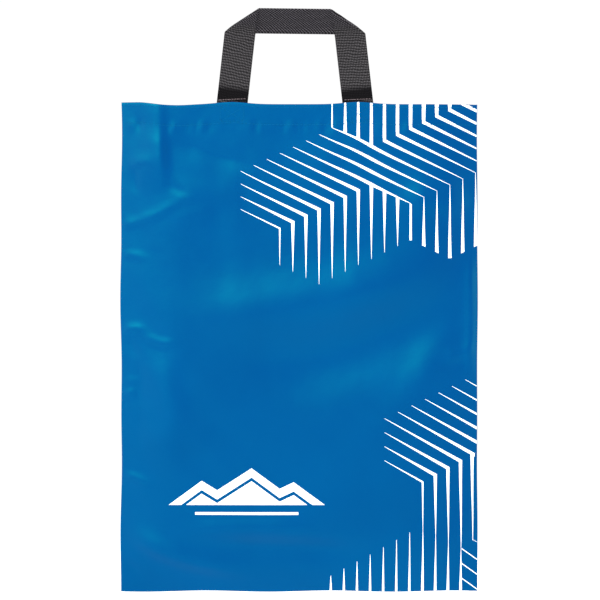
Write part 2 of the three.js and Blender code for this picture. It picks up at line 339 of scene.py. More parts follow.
def spun_thread(name, dark, light):
    """Spun polyester sewing thread: matt. The slanting light and dark of its twisted plies is painted
    into
    its colour: painted highlights on the plies, painted shade between them.
    """
    material, tree = new_material(name)
    place = add(tree, "TexCoord")["Object"]
    bands = {"Vector": place, "Scale": 1 / (2.4 * MM), "Distortion": 1.5, "Detail": 2}
    # Painted light and shade of the plies: light bands are painted highlight, dark bands painted shade.
    twist_light_and_shade = add(tree, "TexWave", bands, bands_direction="DIAGONAL")[1]
    colours = {0: twist_light_and_shade, 6: linear(dark), 7: linear(light)}
    colour = add(tree, "Mix", colours, data_type="RGBA")[2]
    finish = {"Base Color": colour, "Roughness": 0.8, "Specular IOR Level": 0.05}
    add(tree, "OutputMaterial", {"Surface": add(tree, "BsdfPrincipled", finish)[0]})
    return material


def studio_paper():
    """Matt white seamless paper."""
    material, tree = new_material("studio_paper")
    finish = {"Base Color": linear("#FFFFFF"), "Roughness": 0.9, "Specular IOR Level": 0.1}
    add(tree, "OutputMaterial", {"Surface": add(tree, "BsdfPrincipled", finish)[0]})
    return material


# ---------- the cloth's relief ----------

SIM_COLUMNS, SIM_ROWS = 60, 81
SLACK = 0.006  # the panels are cut this share larger than the frame that the seams make
SIM_FRAMES = 30
SIM_SHARE = 0.17  # how much of the simulated relief is left once the bag has been pressed flat


def simulated_relief(seed):
    """How far slack cloth stands out of its frame, on a grid of places, from a simulation.

    A panel cut SLACK too large is held along its two sides, its bottom and behind its handle's
    ends, and falls into swags. Where it starts is a few low waves drawn from the seed.
    """
    x = np.linspace(-HALF_WIDTH, HALF_WIDTH, SIM_COLUMNS)
    z = np.linspace(BOTTOM, MOUTH, SIM_ROWS)
    flat_x, flat_z = np.meshgrid(x, z, indexing="ij")
    draw = np.random.default_rng(seed)
    start = np.zeros_like(flat_x)
    for _ in range(6):
        turn_x, turn_z = draw.uniform(-80, 80), draw.uniform(-40, 40)
        start += 0.6 * MM * np.sin(turn_x * flat_x + turn_z * flat_z + draw.uniform(0, math.tau))
    start *= np.cos(math.pi / 2 * flat_x / HALF_WIDTH)
    start *= np.sin(math.pi * (flat_z - BOTTOM) / (MOUTH - BOTTOM))
    points = np.stack([flat_x, start, flat_z], axis=-1).reshape(-1, 3)
    cloth = new_object("slack_panel", points, grid_faces(SIM_COLUMNS, SIM_ROWS))

    held = np.zeros(flat_x.shape, bool)
    held[0] = held[-1] = held[:, 0] = True
    for middle in LEG_MIDDLES:
        held |= (abs(flat_x - middle) < LEG_WIDTH / 2) & (flat_z > TAIL_END)
    group = cloth.vertex_groups.new(name="held")
    group.add(np.flatnonzero(held.ravel()).tolist(), 1.0, "REPLACE")

    modifier = cloth.modifiers.new("cloth", "CLOTH")
    settings = modifier.settings
    settings.vertex_group_mass = "held"
    settings.quality = 6
    settings.mass = 0.05
    settings.tension_stiffness = settings.compression_stiffness = 15
    settings.shear_stiffness = 5
    settings.bending_stiffness = 0.5
    settings.shrink_min = -SLACK
    settings.effector_weights.gravity = 0.5
    modifier.collision_settings.use_collision = False
    modifier.point_cache.frame_start = 1
    modifier.point_cache.frame_end = SIM_FRAMES
    scene = bpy.context.scene
    for step in range(1, SIM_FRAMES + 1):
        scene.frame_set(step)
    settled = cloth.evaluated_get(bpy.context.evaluated_depsgraph_get())
    where = np.empty(SIM_COLUMNS * SIM_ROWS * 3, np.float32)
    settled.data.vertices.foreach_get("co", where)
    scene.frame_set(1)
    bpy.data.objects.remove(cloth)
    relief = where.reshape(SIM_COLUMNS, SIM_ROWS, 3)[:, :, 1].astype(float)
    return np.clip(relief, -6 * MM, 6 * MM)


def cubic(values, place):
    """Four neighbours' cubic B-spline weights at each place, and the first neighbour's number."""
    whole = np.clip(np.floor(place).astype(int), 1, values - 3)
    t = place - whole
    weights = np.stack(
        [(1 - t) ** 3, 3 * t**3 - 6 * t**2 + 4, -3 * t**3 + 3 * t**2 + 3 * t + 1, t**3]
    )
    return weights / 6, whole - 1


def looked_up(grid, x, z):
    """A grid's value at flat places, as a smooth cubic surface through its neighbourhood."""
    columns, rows = grid.shape
    across, first_column = cubic(columns, (x + HALF_WIDTH) / (2 * HALF_WIDTH) * (columns - 1))
    up, first_row = cubic(rows, (z - BOTTOM) / (MOUTH - BOTTOM) * (rows - 1))
    total = np.zeros_like(across[0])
    for i in range(4):
        for j in range(4):
            total += across[i] * up[j] * grid[first_column + i, first_row + j]
    return total


# The folds that the front took in its packing, each as where it starts, turns and ends, how broad
# its flanks are in millimetres, first the one on the left of its way, and its height. Places are
# shares of the bag's width from its left side and of its height down from the mouth.
FRONT_FOLDS = [
    # the long soft waves that run over from the left side and rise to the right
    ((0.07, 0.43), (0.55, 0.455), (0.92, 0.29), 26, 22, 4.4),
    ((0.47, 0.45), (0.70, 0.42), (0.88, 0.33), 15, 15, 0.7),
    ((0.26, 0.55), (0.72, 0.55), (1.00, 0.36), 23, 30, -5.2),
    ((0.76, 0.19), (0.90, 0.21), (0.99, 0.19), 19, 12, 2.2),
    # the upright pleat at the left of the hem, its torn-off lower end and the creases below it
    ((0.10, -0.08), (0.10, 0.08), (0.115, 0.19), 6.5, 15, 3.1),
    ((0.02, 0.13), (0.05, 0.12), (0.09, 0.12), 7, 2.2, 0.63),
    ((0.04, 0.13), (0.03, 0.15), (0.05, 0.19), 3, 3, -0.43),
    ((0.12, 0.15), (0.14, 0.18), (0.20, 0.185), 4, 3, -0.5),
    ((0.13, 0.065), (0.24, 0.10), (0.38, 0.135), 5, 9, -1.2),
    ((0.12, 0.19), (0.23, 0.19), (0.36, 0.18), 13, 10, 0.81),
    # puckers that run in from the left seam
    ((0.00, 0.25), (0.11, 0.235), (0.20, 0.18), 4.5, 3.5, 0.55),
    ((0.13, 0.24), (0.20, 0.23), (0.28, 0.21), 7, 8, 0.63),
    ((0.00, 0.31), (0.04, 0.305), (0.09, 0.325), 3, 3.5, 0.42),
    ((0.00, 0.47), (0.045, 0.45), (0.09, 0.475), 4, 3.5, 0.75),
    ((0.05, 0.465), (0.10, 0.50), (0.17, 0.49), 4, 3.5, 0.8),
    ((0.01, 0.485), (0.035, 0.49), (0.045, 0.53), 4, 4, -0.56),
    ((0.00, 0.57), (0.03, 0.565), (0.07, 0.57), 2.6, 3, 0.37),
    ((0.00, 0.60), (0.02, 0.59), (0.05, 0.59), 2.8, 3, 0.62),
    ((0.00, 0.76), (0.04, 0.765), (0.10, 0.79), 3.2, 3.5, 0.65),
    # the upright waves beside the left seam
    ((0.12, 0.48), (0.13, 0.60), (0.14, 0.75), 11, 13, 1.5),
    ((0.05, 0.50), (0.05, 0.60), (0.05, 0.72), 5, 5, -0.5),
    # low waves over the bottom seam
    ((0.01, 0.87), (0.12, 0.95), (0.40, 0.965), 11, 6, 2.0),
    ((0.00, 0.94), (0.03, 0.95), (0.07, 0.97), 4, 4, -0.56),
    ((0.22, 0.91), (0.45, 0.905), (0.72, 0.92), 8, 11, -2.5),
    ((0.12, 0.88), (0.35, 0.86), (0.58, 0.88), 8, 8, 1.5),
    # the right seam
    ((0.90, 0.53), (0.95, 0.51), (1.00, 0.50), 7, 5, 0.9),
    ((0.985, 0.70), (0.975, 0.80), (0.98, 0.92), 5, 8, 0.7),
    ((0.995, 0.27), (0.99, 0.43), (0.995, 0.60), 3, 7, 2.4),
]
BACK_FOLDS = [
    ((0.05, 0.30), (0.45, 0.44), (0.90, 0.36), 22, 26, 3.1),
    ((0.10, 0.55), (0.50, 0.64), (0.97, 0.52), 24, 20, -2.8),
    ((0.04, 0.78), (0.40, 0.74), (0.75, 0.84), 18, 22, 2.2),
    ((0.70, 0.08), (0.80, 0.13), (0.92, 0.22), 6, 9, -1.3),
    ((0.09, 0.00), (0.10, 0.09), (0.08, 0.18), 9, 4, 1.2),
    ((1.00, 0.34), (0.93, 0.33), (0.84, 0.37), 4, 3.5, 1.3),
    ((1.00, 0.62), (0.95, 0.63), (0.90, 0.61), 3, 3, 0.9),
    ((0.00, 0.48), (0.05, 0.49), (0.12, 0.46), 3.5, 3, 1.2),
    ((0.00, 0.71), (0.04, 0.70), (0.08, 0.72), 3, 2.6, 0.9),
    ((0.62, 0.97), (0.85, 0.95), (0.99, 0.86), 5, 10, 1.1),
]


def folded_relief(folds, x, z):
    """The relief of a list of folds. Each is a ridge, or a valley where its height is negative,
    along a quadratic curve through its places: its flanks fall away as exp(-(distance / flank)^2),
    and its height falls to nothing at its ends, but not where it starts from a seam."""
    total = np.zeros_like(x)
    corner = np.array([-HALF_WIDTH, MOUTH])
    size = np.array([2 * HALF_WIDTH, BOTTOM - MOUTH])
    segments = 16
    t = np.linspace(0, 1, segments + 1)[:, None]
    for start, turn, end, left, right, height in folds:
        nearest = np.full_like(x, np.inf)
        flank, taper = np.ones_like(x), np.zeros_like(x)
        start_part, turn_part, end_part = (1 - t) ** 2 * start, 2 * t * (1 - t) * turn, t**2 * end
        curve = corner + size * (start_part + turn_part + end_part)
        for number, (one, other) in enumerate(zip(curve[:-1], curve[1:])):
            way = other - one
            along = ((x - one[0]) * way[0] + (z - one[1]) * way[1]) / (way @ way)
            share = np.clip(along, 0, 1)
            off_x, off_z = x - one[0] - share * way[0], z - one[1] - share * way[1]
            gap = np.hypot(off_x, off_z)
            on_left = way[0] * off_z - way[1] * off_x
            share = (number + share) / segments
            if start[0] in (0, 1):
                share = 0.3 + 0.7 * share  # it starts as if a part of it lay past the seam
            nearer = gap < nearest
            side_share = smooth_step(on_left / np.maximum(gap, 1e-9) / math.hypot(*way), -1, 1)
            nearest = np.where(nearer, gap, nearest)
            flank = np.where(nearer, right + (left - right) * side_share, flank)
            ends = smooth_step(share, 0, 0.35) * smooth_step(share, 1, 0.65)
            taper = np.where(nearer, ends, taper)
        total += height * MM * taper * np.exp(-((nearest / (flank * MM)) ** 2))
    return total


def hem_puckers(x, z, seed):
    """The small tucks that stitching draws up along the hem's lower row: short waves along the
    row, of changing length and height, that die out a few millimetres above and below it."""
    draw = np.random.default_rng(seed)
    middle, reach, height = MOUTH - HEM_ROWS[1] - 1.5 * MM, 4.5 * MM, 0.28 * MM
    near = np.exp(-(((z - middle) / reach) ** 2))
    waves = np.zeros_like(x)
    for length in (5.5, 8, 12, 19):
        waves += np.sin(math.tau * x / (length * MM) + draw.uniform(0, math.tau)) * length / 12
    return height * waves * near


RELIEF_PLACES = (293, 401)  # a millimetre apart
LEG_REACH = 17 * MM  # how far from a leg's middle it still acts on the cloth


def relief_grid(folds, seed):
    """A panel's whole relief on a fine grid: the simulated swags, the folds and the hem's puckers.
    It dies out at the seams, and behind the hem, where the handle's ends hold the cloth flat."""
    x, z = np.meshgrid(
        np.linspace(-HALF_WIDTH, HALF_WIDTH, RELIEF_PLACES[0]),
        np.linspace(BOTTOM, MOUTH, RELIEF_PLACES[1]),
        indexing="ij",
    )
    swag_rise, seam_rise = 60 * MM, 7 * MM
    held_flat, hem_flat = 0.92, 0.45  # what shares the handle's ends and the hem take away
    swags = SIM_SHARE * looked_up(simulated_relief(seed), x, z)
    swags *= smooth_step(z, BOTTOM, BOTTOM + swag_rise)
    total = swags + folded_relief(folds, x, z) + hem_puckers(x, z, seed)
    from_seam = np.minimum(HALF_WIDTH - abs(x), z - BOTTOM)
    total *= smooth_step(from_seam, -1 * MM, seam_rise)
    held = np.zeros_like(x)
    for middle in LEG_MIDDLES:
        held = np.maximum(held, np.exp(-(((x - middle) / LEG_REACH) ** 4)))
    above = smooth_step(z, MOUTH - 34 * MM, MOUTH - 16 * MM)
    return total * (1 - held_flat * held * above) * (1 - hem_flat * above)


RELIEF = {FRONT: relief_grid(FRONT_FOLDS, 3), BACK: relief_grid(BACK_FOLDS, 8)}


def outer_face(side, x, z):
    """Points of a panel's outside at flat places.

    The depth rises from the seams as a quarter of a sine wave from each side and from the bottom,
    and the relief is added to it. The handle's legs and the left corner lift the mouth a little,
    it sags between them, and the side seams wander in and out by part of a millimetre.
    """
    x, z = np.broadcast_arrays(np.asarray(x, float), np.asarray(z, float))
    across = np.clip((HALF_WIDTH - abs(x)) / RISE, 0, 1)
    up = np.clip((z - BOTTOM) / RISE, 0, 1)
    billow = np.sin(math.pi / 2 * across) * np.sin(math.pi / 2 * up)
    depth = EDGE_DEPTH + (FULL_DEPTH - EDGE_DEPTH) * billow
    depth = depth + looked_up(RELIEF[side], x, z)
    near_mouth = smooth_step(z, MOUTH - 90 * MM, MOUTH)
    lift = sum(np.exp(-(((x - middle) / LEG_REACH) ** 2)) for middle in LEG_MIDDLES)
    corner = smooth_step(-x, 110 * MM, 134 * MM)
    sag_x, sag_reach = -100 * MM, 14 * MM
    sag = np.exp(-(((x - sag_x) / sag_reach) ** 2))
    lifted, sagged, lowered = 1.9 * MM, 0.8 * MM, 0.9 * MM
    mouth_z = lifted * lift + lifted * corner - sagged * sag - lowered
    down = (MOUTH - z) / (MOUTH - BOTTOM)
    wander = 0.45 * MM * np.sin(11 * down + 0.6) + 0.3 * MM * np.sin(27 * down)
    left_share, right_share = 1.0, -0.5
    new_x = x + np.where(x < 0, left_share, right_share) * (x / HALF_WIDTH) ** 2 * wander
    near_foot = 1 - smooth_step(z, BOTTOM, BOTTOM + 80 * MM)
    foot_z = 0.5 * MM * np.sin(9 * x / HALF_WIDTH) * near_foot
    return np.stack([new_x, side * depth, z + near_mouth * mouth_z + foot_z], axis=-1)


def turned(length, end):
    """Cloth that turns in at an edge: where a length of cloth lies along the panel, and how far
    in. Past the end it goes round half a circle of radius FOLD and then straight back."""
    over = np.maximum(length - end, 0)
    angle = np.minimum(over / FOLD, math.pi)
    straight = np.maximum(over - math.pi * FOLD, 0)
    lies = np.minimum(length, end) + FOLD * np.sin(angle) - straight
    return lies, FOLD * (1 - np.cos(angle))


def cloth_at(side, x, z, lift=0.0):
    """Points of the cloth's outside at places on the flat cut, which runs on past the seams and
    the mouth into the turned-in allowances and hem, and their distance off the cloth."""

    def surface(x, z):
        lies_x, side_in = turned(abs(x), HALF_WIDTH)
        lies_foot, foot_in = turned(-z, -BOTTOM)
        lies_z, mouth_in = turned(z, MOUTH)
        lies_z = np.where(z < BOTTOM, -lies_foot, lies_z)
        beside = abs(x) > HALF_WIDTH
        under = z < BOTTOM
        on_x = np.where(beside, HALF_WIDTH, abs(x)) * np.sign(x)
        on_z = np.where(under, BOTTOM, np.where(z > MOUTH, np.minimum(lies_z, MOUTH), z))
        points = outer_face(side, on_x, on_z)
        points[..., 0] += np.where(beside, (lies_x - HALF_WIDTH) * np.sign(x), 0)
        points[..., 2] += np.where(under, lies_z - BOTTOM, 0)
        points[..., 2] += np.where(z > MOUTH, np.maximum(lies_z - MOUTH, 0), 0)
        points[..., 1] -= side * np.maximum(np.maximum(side_in, foot_in), mouth_in)
        return points

    x, z = np.broadcast_arrays(np.asarray(x, float), np.asarray(z, float))
    points = surface(x, z)
    near = 0.04 * MM
    across = surface(x + near, z) - surface(x - near, z)
    along = surface(x, z + near) - surface(x, z - near)
    normal = np.cross(across, along) * -side
    normal /= np.maximum(np.linalg.norm(normal, axis=-1, keepdims=True), 1e-12)
    return points + normal * np.asarray(lift)[..., None], normal


# ---------- panels ----------


def past_edge(end, reach):
    """Lengths of cloth past an edge: eight round the turn, then on into what is turned in."""
    turn = end + math.pi * FOLD * np.linspace(0, 1, 9)[1:]
    return np.concatenate([turn, np.linspace(end + math.pi * FOLD, end + reach, 6)[1:]])


def half_columns():
    """Places across the right half of a panel: they start close together in the middle, so that
    both halves have the same slope there, open out to STEP, and go on round the side seam."""
    growth, opening_count = 1.6, 8
    opening = 0.05 * MM * (growth ** np.arange(opening_count) - 1)
    even = np.linspace(opening[-1], HALF_WIDTH, round((HALF_WIDTH - opening[-1]) / STEP) + 1)[1:]
    return np.concatenate([opening, even, past_edge(HALF_WIDTH, ALLOWANCE)])


def places_up():
    """Places up a panel, from the bottom allowance's raw edge to the hem's."""
    face = np.linspace(BOTTOM, MOUTH, round((MOUTH - BOTTOM) / STEP) + 1)
    return np.concatenate([-past_edge(-BOTTOM, ALLOWANCE)[::-1], face, past_edge(MOUTH, HEM)])


def panel(name, side, columns):
    """A panel, or half of one, as one sheet of cloth with its hem and allowances turned in."""
    x, z = np.meshgrid(columns, places_up(), indexing="ij")
    outer, _ = cloth_at(side, x, z)
    inner, _ = cloth_at(side, x, z, -CLOTH)
    if side == BACK:
        outer, inner, x, z = outer[::-1], inner[::-1], x[::-1], z[::-1]
    made = thin_solid(name, outer, inner, np.stack([x, z], axis=-1))
    made.data.materials.append(NYLON)
    return made


def opens(piece):
    """A piece of the front's left or right half, with its transform baked into its mesh."""
    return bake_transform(piece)


# ---------- print ----------

INK_LIFT = 0.1 * MM  # over the cloth
INK_STEP = 2 * MM
FINE, BOLD = 0.3 * MM, 2.8 * MM  # the narrowest and the broadest that a stripe gets


def ink(name, outlines):
    """Printed shapes as one piece: each is two rows of flat places, its two long edges."""
    all_points, all_faces, all_uv, first = [], [], [], 0
    share = np.linspace(0, 1, 4)[:, None, None]
    for one_edge, other_edge in outlines:
        places = one_edge * (1 - share) + other_edge * share
        points, _ = cloth_at(FRONT, places[..., 0], places[..., 1], INK_LIFT)
        all_points.append(points.reshape(-1, 3))
        all_uv.append(places.reshape(-1, 2))
        all_faces.append(grid_faces(*places.shape[:2], first=first))
        first += places.shape[0] * places.shape[1]
    points, faces, uv = (np.concatenate(parts) for parts in (all_points, all_faces, all_uv))
    made = new_object(name, points, faces, uv)
    face_forwards(made)
    made.data.materials.append(INK)
    return made


def face_forwards(piece):
    """Turns a piece's faces round where they point into the bag."""
    mesh = piece.data
    direction = np.empty(len(mesh.polygons) * 3, np.float32)
    mesh.polygons.foreach_get("normal", direction)
    if direction[1::3].mean() > 0:
        mesh.flip_normals()


def level(z):
    """A curve that keeps to one height."""
    return lambda x: z + 0 * x


def stripe(start, end, low, high):
    """A stripe between two curves, as its two long edges: low and high give their z at each x,
    from start to end."""
    x = np.linspace(start, end, max(3, round(abs(end - start) / INK_STEP) + 1))
    return np.stack([x, low(x)], axis=-1), np.stack([x, high(x)], axis=-1)


def slanting(from_x, from_z, slope, *knots):
    """The low and the high curve of a stripe that falls by its slope from a place. Its width is
    straight between knots, each an x and a width, and is measured square to the stripe."""
    places, widths = zip(*knots)
    half_share = math.hypot(1, slope) / 2

    def curve(hand):
        return lambda x: (
            from_z - slope * (x - from_x) + hand * half_share * np.interp(x, places, widths)
        )

    return curve(-1), curve(1)


def upright(middle, top, bottom, *knots):
    """An upright stripe whose ends follow the curves top and bottom. Its width is straight between
    knots, each a share of its length and a width."""
    share = np.linspace(0, 1, 40)
    shares, widths = zip(*knots)
    edges = []
    for hand in (-0.5, 0.5):
        x = middle + hand * np.interp(share, shares, widths)
        edges.append(np.stack([x, top(x) * (1 - share) + bottom(x) * share], axis=-1))
    return edges


def upper_stripes():
    """The stripes at the mouth's right half. Slanting stripes one drop apart meet upright ones one
    pitch apart. From the left, each slanting stripe starts as a fine tip, is boldest where it
    reaches upright number min(k, 7), and turns down there. Stripe 7 carries three more uprights,
    and the ones after it thin out to their corner and thicken again below it. Above stripe 10 the
    uprights come down from the mouth first. All lower ends lie on a zigzag of the same slope."""
    pitch, drop, slope = 10.73 * MM, 10.38 * MM, 0.487
    first_x, first_z = -16.0 * MM, MOUTH - 102.3 * MM
    count, turn, hung = 18, 7, 10  # from stripe 10 on they are hung from the mouth
    peak = MOUTH - 148.2 * MM
    mouth_edge = MOUTH + 0.6 * MM
    tip = 0.8 * FINE

    def at(number):
        return first_x + number * pitch

    def zigzag(x):
        number = (x - first_x) / pitch
        return peak + slope * pitch * np.minimum(abs(number - 3), 4 + abs(number - 13))

    shapes = []
    for k in range(count):
        down = k if k < turn else k + 3
        bold = BOLD * {0: 0.45, 8: 0.9, 9: 0.9}.get(k, 0.95)
        if k < hung:
            start = at(max(k - 6, -3)) + 0.2 * MM
        else:
            start = at(4 if k == hung else k - 3)
        end = min(at(down) + (bold if k < turn else FINE) / 2, HALF_WIDTH)
        if k < turn:
            widths = (start, FINE), (end, bold)
        elif k <= hung:
            widths = (start, FINE), (at(turn), bold), (end, FINE)
        else:
            widths = (start, bold), (start + 6 * pitch, FINE)
        low, full_high = slanting(first_x, first_z + k * drop, slope, *widths)

        def high(x, full_high=full_high):
            return np.minimum(full_high(x), mouth_edge)

        shapes.append(stripe(start - (0.4 * BOLD if k > hung else 0), end, low, high))
        if k < turn:
            ends = (0, bold), (1, tip)
        elif k == turn:
            ends = (0, 1.6 * MM), (1, 1.9 * MM)
        else:
            ends = (0, FINE), (1, BOLD)
        if at(down) <= HALF_WIDTH:
            shapes.append(upright(at(down), low, zigzag, *ends))
        if k == turn:
            for number in (7, 8, 9):
                shapes.append(upright(at(number), low, zigzag, (0, BOLD), (1, tip)))
        if k < hung:
            continue
        for number in (4, 5, 6, 7) if k == hung else (k - 3,):
            ends = (0, min(1.4 + 0.3 * (number - 5), 3.1) * MM), (1, 0.95 * BOLD)
            if number == 4:
                ends = (0, 0.8 * MM), (1, 1.2 * MM)
            if high(at(number)) < MOUTH - MM:
                shapes.append(upright(at(number), level(mouth_edge), high, *ends))
    return shapes


def lower_stripes():
    """The stripes at the bottom's right corner. Slanting stripes turn down into uprights that
    narrow to a waist and widen again to the bottom seam. Shorter uprights rise from the seam on
    their left, and fine slanting ones leave the last upright on its right."""
    pitch, drop, slope = 10.46 * MM, 11.51 * MM, 0.561
    first_x, first_z = 101.2 * MM, MOUTH - 310.2 * MM
    tip_x, tip_step = 69.9 * MM, 11.1 * MM
    count, last_down = 10, 4
    waist_z = MOUTH - 348 * MM
    at_seam, short_at_seam = 2.2 * MM, 1.9 * MM  # how broad the uprights end
    step = slope * pitch

    def at(number):
        return first_x + number * pitch

    shapes = []
    for k in range(count):
        start = tip_x + max(k - 3, 0) * tip_step
        bold = BOLD * (0.5 if k == 0 else 0.95)
        end = at(k) + bold / 2 if k <= last_down else HALF_WIDTH
        widths = (start, FINE), (at(k), bold)
        low, high = slanting(first_x, first_z + k * drop, slope, *widths)
        shapes.append(stripe(start, min(end, HALF_WIDTH), low, high))
        if k < last_down:
            top = first_z - k * (step - drop)
            waist = (top - (waist_z - k * step)) / (top - BOTTOM)
            ends = (0, bold), (waist, FINE), (1, at_seam)
            shapes.append(upright(at(k), low, level(BOTTOM), *ends))
        elif k == last_down:
            turn_z = waist_z - 10.5 * MM
            last_x, edges_x = at(k) - 0.8 * MM, at(k) - 1.2 * MM
            shapes.append(upright(last_x, low, level(turn_z), (0, bold), (1, FINE)))
            edges = slanting(at(k), turn_z, slope, (0, FINE))
            shapes.append(stripe(edges_x, HALF_WIDTH, *edges))
    short_count, first_down, tip_drop = 7, 3.5 * MM, 1.03 * step
    wider_pitch = 0.3 * MM
    for number in range(1, short_count + 1):
        tip = waist_z - (first_down + (number - 1) * tip_drop)
        middle = at(-number) - number * wider_pitch
        ends = (0, FINE), (1, short_at_seam)
        shapes.append(upright(middle, level(tip), level(BOTTOM), *ends))
    leave_x, leave_slope, leave_width = at(3) + 0.6 * MM, 0.7, 0.74 * MM
    leave_count, leave_drop = 3, 12.2 * MM
    for number in range(leave_count):
        leave_z = MOUTH - 365.5 * MM - number * leave_drop
        end = min(HALF_WIDTH, leave_x + (leave_z - BOTTOM) / leave_slope)
        edges = slanting(leave_x, leave_z, leave_slope, (0, leave_width))
        shapes.append(stripe(leave_x, end, *edges))
    return shapes


def ridge_emblem():
    """A plain emblem low on the left: three mountain tops, each with its cap set off from its
    foot by a gap, over a thin bar."""
    left, right = -107 * MM, 21 * MM
    top, foot = MOUTH - 299 * MM, MOUTH - 329 * MM
    heights = [(0, 0), (0.21, 0.66), (0.31, 0.40), (0.53, 1.0), (0.71, 0.44), (0.80, 0.62), (1, 0)]
    width, height = right - left, top - foot
    knots_x = [left + share * width for share, _ in heights]
    knots_z = [foot + share * height for _, share in heights]
    cap, gap = 7.5 * MM, 3 * MM

    def ridge(x):
        return np.interp(x, knots_x, knots_z)

    def cap_foot(x):
        return np.maximum(ridge(x) - cap, foot)

    def body(x):
        return ridge(x) - cap - gap

    shapes = [stripe(start, end, cap_foot, ridge) for start, end in zip(knots_x, knots_x[1:])]
    # The body reaches the foot where the outer slopes are a cap and a gap high.
    body_left = np.interp(cap + gap, (0, heights[1][1] * height), (left, knots_x[1]))
    body_right = np.interp(cap + gap, (0, heights[-2][1] * height), (right, knots_x[-2]))
    inner = [body_left, *knots_x[1:-1], body_right]
    shapes += [stripe(start, end, level(foot), body) for start, end in zip(inner, inner[1:])]
    bar, half_bar, bar_in = MOUTH - 336 * MM, 1.1 * MM, 0.17 * width
    edges = level(bar - half_bar), level(bar + half_bar)
    return [*shapes, stripe(left + bar_in, right - bar_in, *edges)]


# ---------- thread ----------


def closed_tubes(middle, up, radius):
    """Round bars of thread carried along rows of points, as arrays of points and faces, closed at
    both ends. up is a direction off the cloth at each point, and radius a size for each point."""
    sides = 6
    count, stations = middle.shape[:2]
    along = np.gradient(middle, axis=1)
    beside = np.cross(along, up)
    beside /= np.maximum(np.linalg.norm(beside, axis=-1, keepdims=True), 1e-12)
    over = np.cross(beside, along)
    over /= np.maximum(np.linalg.norm(over, axis=-1, keepdims=True), 1e-12)
    angle = np.arange(sides)[:, None] * math.tau / sides
    ring = beside[:, :, None] * np.cos(angle) + over[:, :, None] * np.sin(angle)
    points = middle[:, :, None] + ring * radius[..., None, None]
    cap = np.array([[0, 1, 2, 3], [0, 3, 4, 5]])
    end = (stations - 1) * sides
    one = [grid_faces(stations, sides, close_columns=True)[:, ::-1], cap, end + cap[:, ::-1]]
    faces = np.concatenate(one)[None] + stations * sides * np.arange(count)[:, None, None]
    return points.reshape(-1, 3), faces.reshape(-1, 4)


def thread_piece(name, parts, slot="blue_thread"):
    """One piece of thread from several arrays of points and faces."""
    points, faces, first = [], [], 0
    for some_points, some_faces in parts:
        points.append(some_points)
        faces.append(some_faces + first)
        first += len(some_points)
    made = new_object(name, np.concatenate(points), np.concatenate(faces))
    recalculate_outwards(made)
    made.data.materials.append(THREADS[slot])
    return made


def stitches(path, up, length=2.7 * MM, gap=0.5 * MM, radius=0.2 * MM):
    """A row of machine stitches along a path of points. Each is a short bar of thread that dives
    at both ends: it stands off the cloth by the root of half a sine over its length."""
    steps = np.concatenate([[0], np.cumsum(np.linalg.norm(np.diff(path, axis=0), axis=1))])
    count = max(1, round(steps[-1] / (length + gap)))
    middles = (np.arange(count) + 0.5) * steps[-1] / count
    share = np.linspace(0, 1, 6)
    at = middles[:, None] + (share[None] - 0.5) * length
    middle = np.stack([np.interp(at, steps, path[:, i]) for i in range(3)], axis=-1)
    off = np.stack([np.interp(at, steps, up[:, i]) for i in range(3)], axis=-1)
    arch = np.sqrt(np.sin(math.pi * np.clip(share, 0.03, 0.97)))
    stands_off = arch * radius * 1.5 - radius * 0.9
    thinned = radius * (0.4 + 0.6 * arch)  # the thread is pulled thin where it dives
    middle = middle + off * stands_off[None, :, None]
    return closed_tubes(middle, off, np.broadcast_to(thinned, at.shape))


def row(side, start, end, lift=0.0, **sizes):
    """Stitches in a straight row between two flat places on a panel."""
    count = max(2, round(math.dist(start, end) / (1.5 * MM)) + 1)
    x, z = np.linspace(start[0], end[0], count), np.linspace(start[1], end[1], count)
    points, up = cloth_at(side, x, z, lift)
    return stitches(points, up, **sizes)


def overlock(side, start, end, inwards):
    """Thread wound round a raw edge from one flat place on it to another, as a flattened helix:
    its reach over the cloth is a cosine, and it changes over to the other face at the edge."""
    pitch, reach, radius = 2.6 * MM, 4 * MM, 0.13 * MM
    past_raw_edge, off_cloth = 0.1 * MM, 0.05 * MM
    count = round(math.dist(start, end) / pitch)
    turn = np.linspace(0, count, 10 * count + 1)
    share = turn / count
    away = -past_raw_edge + reach * (1 - np.cos(math.tau * turn)) / 2
    x = start[0] + (end[0] - start[0]) * share + inwards[0] * away
    z = start[1] + (end[1] - start[1]) * share + inwards[1] * away
    swing = np.clip(3 * np.sin(math.tau * turn), -1, 1)
    points, up = cloth_at(side, x, z, -CLOTH / 2 + (CLOTH / 2 + off_cloth) * swing)
    return closed_tubes(points[None], up[None], np.full((1, len(turn)), radius))


# ---------- handles ----------


def folded_strap(s, t):
    """The webbing's middle surface, laid flat, as X, Z and how far out of its plane it lies.

    s runs along the strap from the middle of the grip and t across it. Past a slanting line at
    each end of the grip the strap is folded over: it goes round half a circle of MITRE_RADIUS
    across the line, and then back, mirrored in the line, in front of the grip.
    """
    hand = np.where(s < 0, -1.0, 1.0)
    x, z = abs(s), t + WEBBING_WIDTH / 2
    slope = (math.pi / 2 - LEG_LEAN) / 2
    across_line = np.array([math.sin(slope), math.cos(slope)])
    distance = (x - GRIP_SPREAD) * across_line[0] + z * across_line[1]
    half_turn = math.pi * MITRE_RADIUS / 2
    angle = np.clip((distance + half_turn) / MITRE_RADIUS, 0, math.pi)
    folded = np.where(
        distance > half_turn,
        -(distance - half_turn),
        np.where(distance < -half_turn, distance + half_turn, MITRE_RADIUS * np.sin(angle)),
    )
    moved = folded - distance - half_turn
    out = MITRE_RADIUS * (1 - np.cos(angle)) - 2 * MITRE_RADIUS
    return hand * (x + moved * across_line[0]), z + moved * across_line[1], out


